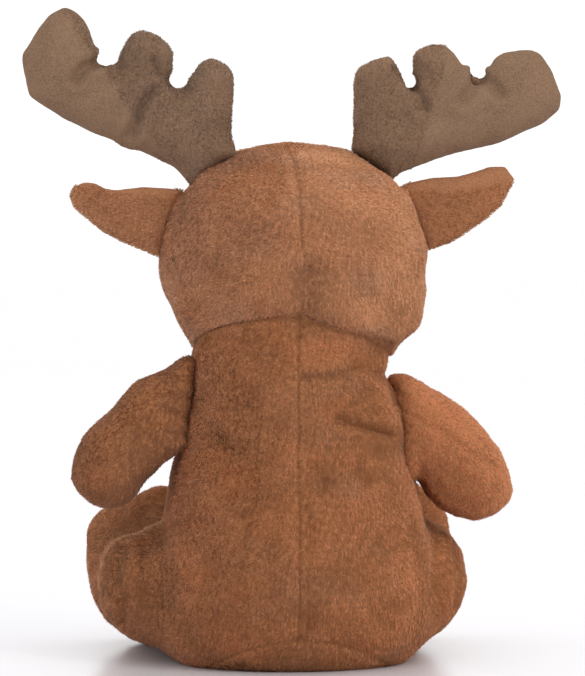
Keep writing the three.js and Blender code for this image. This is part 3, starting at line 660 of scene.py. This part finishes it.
def painted_shade_and_nap(skin, spots):
    """Darkening of the spots on the back: brushed nap in some, painted shade in the others."""
    facing = smooth_step(skin.normals()[:, 1], 0, 0.4)
    x, z = skin.points[:, 0] / MM, skin.points[:, 2] / MM
    total = np.zeros(len(x))
    for cx, cz, wide, tall, deep in spots:
        total += deep * np.exp(-((x - cx) / wide) ** 2 - ((z - cz) / tall) ** 2)
    return total * facing


def nap(root, scale, seed, amount):
    """Swirls of a brushed pile, as sideways pushes."""
    way = np.zeros_like(root)
    way[:, 0] = amount * waves(root, scale, seed)
    way[:, 1] = 0.6 * amount * waves(root, scale * 0.9, seed + 1)
    return way


def comb_from(place, scale, seed, amount, fall=0):
    """A nap that runs away from a place, in millimetres, swirls, and hangs down by fall."""
    def comb(root, normal):
        return unit(root - np.array(place) * MM) + nap(root, scale, seed, amount) - [0, 0, fall]

    return comb


def trunk_comb(root, normal):
    """Down, and away from the seam close to it."""
    way = nap(root, scale=38, seed=21, amount=0.42)
    way[:, 2] = -1
    x, y = root[:, 0] / MM, root[:, 1]
    way[:, 0] += 0.7 * np.sign(x) * np.exp(-np.abs(x) / 2.5) * (y > 0)
    return way


def head_comb(root, normal):
    """Down and outwards on the back, and away from the muzzle on the face."""
    way = nap(root, scale=34, seed=25, amount=0.5)
    x, y, z = root.T / MM
    way[:, 2] = -1
    from_seam = x + 1.5
    way[:, 0] += np.clip(x / 40, -0.8, 0.8) + 0.7 * np.sign(from_seam) * np.exp(-np.abs(from_seam) / 2.5)
    face = smooth_step(-y, 5, 25)[:, None]
    from_muzzle = unit(root - np.array([0, -60, 170]) * MM) * 1.4
    return way * (1 - face) + from_muzzle * face


def groove_fill(side, limit):
    """A rod that fills the groove in which an arm's root turns. limit moves its points."""
    hinge = next(joint for joint in frame["joints"] if joint["name"] == f"{side}_arm_swing")
    start, way = np.array(hinge["pos_m"]), np.array(hinge["axis"])
    way = way * -np.sign(way[2])
    across = np.array([0, 1, 0])
    inward = np.cross(way, across)
    points, faces = [], []
    for row in range(GROOVE_ROWS):
        along = GROOVE_FROM + (GROOVE_TO - GROOVE_FROM) * row / (GROOVE_ROWS - 1)
        middle = start + way * along * MM
        for k in range(GROOVE_SIDES):
            turn = 2 * math.pi * k / GROOVE_SIDES
            outward = across * math.cos(turn) + inward * math.sin(turn)
            points.append(middle + GROOVE_RADIUS * MM * outward)
    for row in range(GROOVE_ROWS - 1):
        for k in range(GROOVE_SIDES):
            a = row * GROOVE_SIDES + k
            b = row * GROOVE_SIDES + (k + 1) % GROOVE_SIDES
            faces.append([a, b, b + GROOVE_SIDES, a + GROOVE_SIDES])
    faces.append(list(range(GROOVE_SIDES))[::-1])
    faces.append([(GROOVE_ROWS - 1) * GROOVE_SIDES + k for k in range(GROOVE_SIDES)])
    return limit(np.array(points)).tolist(), faces


def body_skin():
    """One smooth skin over trunk and head, with the haunches and the ears' roots."""
    def behind_haunch(points):
        points[:, 1] = np.maximum(points[:, 1], HAUNCH_END * MM)
        return points

    def inside_ear(points):
        points[:, 0] = np.clip(points[:, 0], -EAR_ROOT * MM, EAR_ROOT * MM)
        return points

    def level_with_flank(points):
        x, y, z = points.T / MM
        flank = np.interp(z, FLANK_HEIGHTS, FLANK_HALF_WIDTHS) * np.sqrt(1 - (y / FLANK_HALF_DEPTH) ** 2)
        points[:, 0] = np.sign(x) * np.minimum(np.abs(x), flank) * MM
        return points

    limbs = group_of("left_leg") + group_of("right_leg")
    ears = group_of("left_ear") + group_of("right_ear")
    skin = soft_skin(
        "body",
        joined(TRUNK_NODES + HEAD_NODES + ["neck_filling"]),
        joined(limbs, behind_haunch),
        joined(ears, inside_ear),
        groove_fill("left", level_with_flank),
        groove_fill("right", level_with_flank),
    )
    x, y, z = skin.points.T / MM
    behind = smooth_step(y, HAUNCH_END, HAUNCH_END + 12)
    for middle, height, wide, tall, rounds in HAUNCH_RELAXES:
        near = np.exp(-((np.abs(x) - middle) / wide) ** 2 - ((z - height) / tall) ** 2) * behind
        skin.relax(rounds, 0.5 * near[:, None])
    return skin


def neck_seam_point():
    """A point in the neck seam's plane, where the filling between trunk and head begins."""
    cap = np.array([vertex.co for vertex in frame["nodes"]["neck_filling"].data.vertices])
    rise = ((cap - np.array(NECK_CENTRE)) @ np.array(NECK_AXIS)).min()
    return NECK_CENTRE + NECK_AXIS * rise


def neck_place(points, seam_point):
    """Height over the neck seam's plane and distance from the neck's line, in millimetres."""
    from_seam = points - np.array(seam_point)
    over = from_seam @ np.array(NECK_AXIS)
    around = np.linalg.norm(from_seam - over[:, None] * np.array(NECK_AXIS), axis=1)
    return over / MM, around / MM


def press_neck(skin, seam_point):
    """Presses the neck seam in. Returns how near each point is to it, how high over it, and if it is head."""
    over, around = neck_place(skin.points, seam_point)
    neck = smooth_step(NECK_RADIUS - around, 0, 2)
    near = NECK_SEAM_SHADE * neck * np.exp(-((over / NECK_SEAM_WIDE) ** 2))
    skin.push(-NECK_SEAM_DEEP * near - NECK_DRAW * neck * np.exp(-((over / NECK_DRAW_WIDE) ** 2)))
    is_head = (over > 0) | ((over > -LAP_DOWN) & (around > LAP_RADIUS))
    return near, over, is_head


def parted(skin, mine, shade, seams):
    """The marked part of a skin, with the shade and the strand length on it."""
    part, kept = part_of(skin, mine)
    return part, dict(dark=shade[kept], long=(1 - SEAM_SHORT * seams)[kept])


def trunk_cover(trunk):
    """The trunk's share of pile: none on the underside, nor where a leg's root covers it."""
    x, y, z = trunk.points.T / MM
    root_face = smooth_step(-y, 31, 32.5) * smooth_step(np.abs(x), 40, 50)
    return smooth_step(z, 0.4, 0.6) * (1 - root_face * (1 - smooth_step(z, 62, 65)))


def make_body():
    skin = body_skin()
    x, y, z = skin.points.T / MM
    beside = np.maximum(smooth_step(np.abs(x), 50, 58), 1 - smooth_step(z, 50, 57))
    rim = smooth_step(-y, 22, 33) * smooth_step(np.abs(x), 20, 40) * beside
    skin.push(-SUNK * smooth_step(z, 0, SUNK_FADE) - RIM_TUCK * rim * smooth_step(z, 8, 20))
    seam_point = neck_seam_point()
    seams, over, is_head = press_neck(skin, seam_point)

    # The low part of the head leans to -X, and the cheek there droops
    skin.points[:, 0] -= HEAD_LEAN * MM * is_head * smooth_step(178 - z, 0, 26) * smooth_step(over, -3, 6)
    cheek = (1 - np.exp(np.minimum(x, 0) / 18)) * smooth_step(y, -25, 5)
    skin.points[:, 2] -= CHEEK_DROOP * cheek * np.exp(-((over / 14) ** 2)) * MM
    for place, reach, move in BODY_SHIFTS:
        skin.shift(place, reach, move)
    for line in (BACK_SEAM, BASE_SEAM, HEAD_SEAM):
        seams = np.maximum(seams, skin.press_seam(line))
    depth = skin.press_folds(TRUNK_FOLDS + HEAD_FOLDS, side=1)
    swell = 0.45 * waves(skin.points, scale=36, seed=41) + 0.12 * waves(skin.points, scale=11, seed=44)
    skin.push(swell * smooth_step(z, 0, WAVES_FADE))
    skin.keep_off_ground()
    skin.store()

    # The pile's darkening: along the seams and below the base seam, painted shade in the folds, and the
    # darker spots
    below_base_seam = smooth_step(14.5 - z - 0.009 * x ** 2, 0, 3)
    shade = SEAM_SHADE * seams + np.clip(depth / 4, 0, 0.4) + painted_shade_and_nap(skin, NAP_AND_SHADE_SPOTS)
    shade += BASE_SHADE * below_base_seam
    trunk, trunk_looks = parted(skin, ~is_head, shade, seams)
    head, head_looks = parted(skin, is_head, shade, seams)
    front = smooth_step(-trunk.normals()[:, 1], -0.02, 0.02)
    clear = trunk_cover(trunk)
    trunk_pile = pile_pieces(
        "back_pile", trunk, BODY_PILE, "brown", trunk_comb, cover=clear * (1 - front), **trunk_looks)
    trunk_pile += pile_pieces(
        "belly_pile", trunk, BODY_PILE, "warm", trunk_comb, cover=clear * front, **trunk_looks)
    head_pile = pile_pieces("head_pile", head, BODY_PILE, "head", head_comb, **head_looks)
    trees = {"torso": trunk.tree(), "head": head.tree()}
    trunk_cloth = cloth_piece("trunk_cloth", trunk, "brown", "warm", front > 0.5)
    head_cloth = cloth_piece("head_cloth", head, "head")

    hang(trunk_cloth + trunk_pile, "neck", "torso")
    hang(head_cloth + head_pile, "head", "neck")
    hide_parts(*TRUNK_NODES)
    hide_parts(*HEAD_NODES)
    return trees


def make_neck():
    skin = soft_skin("neck", joined(["neck_filling"]))
    skin.push(-NECK_SUNK)
    neck = cloth_piece("neck_cloth", skin, "brown")
    hang(neck, "neck")
    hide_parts("neck_filling")


def make_muzzle(trees):
    nodes = ["muzzle", "muzzle_stuffing"]
    skin = soft_skin("muzzle", joined(nodes))
    cover = smooth_step(skin.height_over(trees["head"]), 0, 0.6)
    comb = comb_from((0, -85, 172), scale=20, seed=61, amount=0.2)
    pieces = pile_pieces("muzzle_pile", skin, EAR_PILE, "pale", comb, cover=cover)
    pieces += cloth_piece("muzzle_cloth", skin, "pale")
    hang(pieces, "head")
    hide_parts(*nodes)


# Limbs, ears and antlers

def limb(name, skin, pile, looks, is_second, comb, cover, joint, dark=None):
    """The cloth and pile of a sewn-on piece that bends at its root; no bend is set up here. looks are those
    of its two panels.
    joint is the parent, and the start and end of a bend, which are not used."""
    first = cover * (1 - is_second)
    second = cover * is_second
    pieces = pile_pieces(f"{name}_pile", skin, pile, looks[0], comb, cover=first, dark=dark)
    pieces += pile_pieces(f"{name}_front_pile", skin, pile, looks[1], comb, cover=second, dark=dark)
    pieces += cloth_piece(f"{name}_cloth", skin, *looks, is_second > 0.5)
    parent, start, end = joint
    hang(pieces, name, parent)
    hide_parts(*group_of(name))


def shift_outline(skin, shifts):
    """Moves a limb's outline: each shift is a place, as (x, z), its reach and the move."""
    for place, reach, move in shifts:
        skin.shift(place, (reach, reach), move)


LEG_SHIFTS = {
    "left": [((88, 60), 14, (2, 1)), ((66, 64), 12, (0, -6))],
    "right": [((-56, 78), 11, (0, 7)), ((-72, 62), 12, (-3, 2))],
}
HIDDEN_SUNK = 2.2  # how much deeper a leg is drawn in where the haunch covers it
GROIN_RISE, THIGH_DROP = 6.5, 2
THIGH_PAINTED_SHADE = 0.6  # painted shade on the thigh's top, in the hollow behind the arm
SOLE_FROM, SOLE_TO = 98.2, 98.8


def leg_comb(root, normal):
    """Forwards along the leg, and down."""
    way = nap(root, scale=30, seed=51, amount=0.4)
    way[:, 1] -= 0.8
    way[:, 2] -= 0.6
    return way


def make_leg(side):
    name = f"{side}_leg"
    skin = soft_skin("leg", joined(group_of(name)))
    x, y, z = skin.points.T / MM
    hidden = smooth_step(y, HAUNCH_END + 1, HAUNCH_END + 6)
    skin.push((-SUNK - HIDDEN_SUNK * hidden) * smooth_step(z, 0, SUNK_FADE))
    swell = 0.5 * waves(skin.points, scale=30, seed=47 + SIDES[side])
    skin.push(swell * smooth_step(z, 0, WAVES_FADE))
    shift_outline(skin, LEG_SHIFTS[side])
    skin.keep_off_ground()

    # The thigh's top is lower outside, and fuller against the belly
    low = smooth_step(z, 44, 62) * np.exp(-((y + 48) / 14) ** 2) * smooth_step(np.abs(x), 52, 60)
    groin = smooth_step(z, 46, 56) * np.exp(-((np.abs(x) - 43) / 13) ** 2 - ((y + 37) / 11) ** 2)
    skin.points[:, 2] += (GROIN_RISE * groin - THIGH_DROP * low) * MM
    # Painted shade in the hollow behind the arm, on the thigh's top
    hollow = THIGH_PAINTED_SHADE * smooth_step(z, 40, 56) * np.exp(-((y + 60) / 20) ** 2)
    sole = smooth_step(-y, SOLE_FROM, SOLE_TO)
    cover = smooth_step(-y, -HAUNCH_END - 2.5, -HAUNCH_END) * (z > 0.5)
    joint = ("torso", (0, -0.022, 0.036), (0, -0.052, 0.036))
    limb(name, skin, BODY_PILE, ("brown", "pale"), sole, leg_comb, cover, joint, dark=hollow)


# Shifts and folds of the arms, at (x, z) places on the back as for the trunk
ARM_SHIFTS = {
    "left": [
        ((47, 136), 8, (-1.5, 4)), ((50, 89), 8, (0, 6)), ((49, 92), 6, (0, 2.5)),
        ((63, 80), 9, (3.5, 2.5)), ((68, 127), 16, (1.2, 1.5)), ((90, 108), 12, (1, 1)),
    ],
    "right": [((-47, 128), 10, (2, 3))],
}
ARM_FOLDS = {
    "left": [
        ([(47, 122), (56, 125)], 0.6, 1.6), ([(48, 113), (58, 116)], 0.7, 1.6),
        ([(48, 105), (58, 106)], 0.7, 1.6), ([(49, 99), (57, 97)], 0.6, 1.6),
    ],
    "right": [
        ([(-46, 117), (-57, 110.5), (-66, 105), (-77, 97), (-88, 91.5)], 0.7, 1.5),
        ([(-44, 125), (-51, 118.5), (-61, 112.5)], 0.7, 1.5),
        ([(-58, 124.5), (-70, 115.5)], 0.4, 2.2), ([(-66, 98), (-80, 90)], 0.4, 2.0),
    ],
}
# Painted light: the left arm's pile darker and the right arm's lighter, as the key light falls from the right
ARM_PAINTED_LIGHT = {"left": 0.3, "right": -0.35}
ROOT_FILL, ROOT_FILL_AT, ROOT_FILL_WIDE = 7, 49, 11  # how far the root's back is filled out, and where


def make_arm(side, trees):
    name = f"{side}_arm"
    sign = SIDES[side]
    skin = soft_skin("arm", joined(group_of(name)))
    skin.push(-SUNK + 0.2)
    shift_outline(skin, ARM_SHIFTS[side])
    depth = skin.press_folds(ARM_FOLDS[side], side=1)

    # The back of the arm's root is filled out towards the trunk's
    facing = smooth_step(skin.normals()[:, 1], 0, 0.5)
    from_root = (np.abs(skin.points[:, 0]) / MM - ROOT_FILL_AT) / ROOT_FILL_WIDE
    skin.points[:, 1] += ROOT_FILL * MM * facing * np.exp(-from_root ** 2)
    skin.push(0.4 * waves(skin.points, scale=24, seed=51 + sign))
    y = skin.points[:, 1] / MM
    front = smooth_step(-skin.normals()[:, 1], 0.1, 0.2) * smooth_step(-y, 0, 1)
    cover = smooth_step(skin.height_over(trees["torso"]), -0.6, 0.4)
    # Painted shade in the arm's folds, and the side's painted light
    dark = np.clip(depth / 4, 0, 0.3) + ARM_PAINTED_LIGHT[side]
    comb = comb_from((sign * 40, 4, 128), scale=22, seed=31, amount=0.3, fall=0.25)
    joint = ("torso", (sign * 0.047, 0, 0.112), (sign * 0.064, 0, 0.112))
    limb(name, skin, BODY_PILE, ("brown", "warm"), front, comb, cover, joint, dark=dark)


def make_ear(side, trees):
    name = f"{side}_ear"
    sign = SIDES[side]
    skin = soft_skin("ear", joined(group_of(name)))
    skin.push(-0.3)
    front = (skin.points[:, 1] < -4.2 * MM).astype(float)
    cover = smooth_step(skin.height_over(trees["head"]), -0.6, 0.4)
    comb = comb_from((sign * 36, -4, 205), scale=20, seed=35, amount=0.25)
    joint = ("head", (sign * 0.049, 0, 0.203), (sign * 0.062, 0, 0.207))
    limb(name, skin, EAR_PILE, ("ear", "pale"), front, comb, cover, joint)


ANTLER_CROWN = 10.5  # how far the middle of a panel stands off the seam
ANTLER_RIM = 5.0  # how quickly it rises from the edge
SEAM_Y = -4
ANTLER_FOLDS = {
    "left": [
        ([(85.7, 271.6), (89, 271), (94, 269), (98, 263.5)], 3.6, 2.2),
        ([(60.5, 260), (66, 256), (69.5, 250), (71.5, 243), (73, 239)], 3.6, 2.2),
        ([(55, 261.5), (60.5, 267), (62.7, 272.5)], 2.4, 2.0),
        ([(78.5, 270), (82, 265), (85, 261.5)], 1.0, 2.2),
        ([(55, 259), (48.5, 259)], 1.2, 2.2),
    ],
    "right": [
        ([(-54, 261.7), (-50, 264.4), (-47, 268)], 2.4, 2.2),
        ([(-53.4, 260.8), (-57, 255.4), (-58.8, 250)], 2.2, 2.2),
        ([(-84, 264.4), (-79.6, 258), (-76, 253.6)], 2.2, 2.2),
        ([(-83, 265), (-89.5, 261.7), (-93, 256.3)], 2.2, 2.2),
    ],
}


def fill_out(skin):
    """Gives an antler's two panels a crown that rises from the seam round its edge."""
    normals = skin.normals()
    y = skin.points[:, 1] - SEAM_Y * MM
    rim = np.nonzero((np.abs(y) < 0.8 * MM) & (np.abs(normals[:, 1]) < 0.5))[0]
    tree = KDTree(len(rim))
    for k in rim:
        tree.insert((skin.points[k, 0], 0, skin.points[k, 2]), int(k))
    tree.balance()
    away = np.array([tree.find((point[0], 0, point[2]))[2] for point in skin.points])
    crown = ANTLER_CROWN * MM * (1 - np.exp(-away / (ANTLER_RIM * MM))) ** 0.8
    near_seam = np.minimum(1, np.abs(y) / (3 * MM))
    skin.points[:, 1] = SEAM_Y * MM + np.sign(y) * np.maximum(crown, 0) * near_seam


def make_antler(side, trees):
    name = f"{side}_antler"
    sign = SIDES[side]
    skin = soft_skin("antler", joined(group_of(name)))
    fill_out(skin)
    skin.relax(4)
    depth = skin.press_folds(ANTLER_FOLDS[side], side=1)
    skin.press_folds(ANTLER_FOLDS[side], side=-1)
    skin.relax(1)
    skin.push(0.15 * waves(skin.points, scale=14, seed=57 + sign))
    front = (skin.points[:, 1] < (SEAM_Y - 0.2) * MM).astype(float)
    cover = smooth_step(skin.height_over(trees["head"]), -0.6, 0.3)
    # Painted shade in the creases between the lobes
    dark = np.clip(depth / 5, 0, 0.45)
    comb = comb_from((sign * 30, -4, 222), scale=18, seed=37, amount=0.35, fall=0.6)
    joint = ("head", (sign * 0.033, 0, 0.226), (sign * 0.042, 0, 0.238))
    limb(name, skin, ANTLER_PILE, ("antler", "antler"), front, comb, cover, joint, dark=dark)


# Face trim

def make_trim():
    trim = {
        "left_eye": gloss_material("eye_plastic", (18, 13, 11), 0.12),
        "nose": gloss_material("nose_plastic", (26, 20, 18), 0.2),
    }
    trim["right_eye"] = trim["left_eye"]
    for name, look in trim.items():
        skin = soft_skin("trim", joined([name]))
        skin.store()
        skin.mesh.polygons.foreach_set("use_smooth", np.ones(len(skin.mesh.polygons), bool))
        piece = add_object(f"{name}_button", skin.mesh, [look])
        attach(piece, "head")
        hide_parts(name)
    washer = gloss_material("washer_plastic", (228, 226, 218), 0.5)
    thread = gloss_material("mouth_thread", (44, 28, 20), 0.8)
    for name, node in frame["nodes"].items():
        if "washer" in name or name == "mouth_stitch":
            node.data.materials.clear()
            node.data.materials.append(washer if "washer" in name else thread)


# Set

LIT = (0, 0, 0.15)  # where the lamps point
FLOOR_HALF = 3.0


def make_floor():
    corners = [(x * FLOOR_HALF, y * FLOOR_HALF, 0) for x, y in ((-1, -1), (1, -1), (1, 1), (-1, 1))]
    mesh = bpy.data.meshes.new("floor")
    mesh.from_pydata(corners, [], [(0, 1, 2, 3)])
    floor = bpy.data.objects.new("floor", mesh)
    bpy.context.scene.collection.objects.link(floor)
    material, tree, shader = principled("floor_sheet")
    noise = tree.nodes.new("ShaderNodeTexNoise")
    noise.inputs["Scale"].default_value = 6
    tint = tree.nodes.new("ShaderNodeValToRGB")
    tint.color_ramp.elements[0].color = (0.78, 0.765, 0.80, 1)
    tint.color_ramp.elements[1].color = (0.82, 0.80, 0.84, 1)
    tree.links.new(noise.outputs["Fac"], tint.inputs["Fac"])
    tree.links.new(tint.outputs["Color"], shader.inputs["Base Color"])
    shader.inputs["Roughness"].default_value = 0.2
    mesh.materials.append(material)


def area_light(name, place, size, power, colour):
    """A round lamp that points at the toy's middle."""
    data = bpy.data.lights.new(name, "AREA")
    data.shape = "DISK"
    data.size = size
    data.energy = power
    data.color = colour
    light = bpy.data.objects.new(name, data)
    light.location = place
    light.rotation_mode = "QUATERNION"
    light.rotation_quaternion = (Vector(LIT) - Vector(place)).to_track_quat("-Z", "Y")
    bpy.context.scene.collection.objects.link(light)


def make_light():
    world = bpy.data.worlds.new("studio")
    bpy.context.scene.world = world
    world.use_nodes = True
    background = world.node_tree.nodes["Background"]
    background.inputs["Color"].default_value = (1, 1, 1, 1)
    background.inputs["Strength"].default_value = 1.1
    area_light("fill", (1.6, 0.9, 0.5), size=0.8, power=2, colour=(0.72, 0.86, 1.0))
    area_light("key", (-1.0, 1.2, 1.3), size=0.6, power=8.5, colour=(1.0, 0.97, 0.93))


def make_camera():
    data = bpy.data.cameras.new("camera")
    data.sensor_width = SENSOR
    data.lens = SENSOR * DISTANCE / SEEN_HEIGHT
    camera = bpy.data.objects.new("camera", data)
    back = Vector((
        math.sin(AZIMUTH) * math.cos(ELEVATION),
        -math.cos(AZIMUTH) * math.cos(ELEVATION),
        math.sin(ELEVATION),
    ))
    camera.location = AIM + back * DISTANCE
    camera.rotation_mode = "QUATERNION"
    camera.rotation_quaternion = (-back).to_track_quat("-Z", "Y")
    data.clip_start, data.clip_end = 0.05, 20
    bpy.context.scene.collection.objects.link(camera)
    bpy.context.scene.camera = camera


make_camera()
make_light()
make_floor()
skins = make_body()
make_neck()
make_muzzle(skins)
for each_side in SIDES:
    make_leg(each_side)
    make_arm(each_side, skins)
    make_ear(each_side, skins)
    make_antler(each_side, skins)
make_trim()
bpy.context.scene.view_settings.view_transform = "Standard"
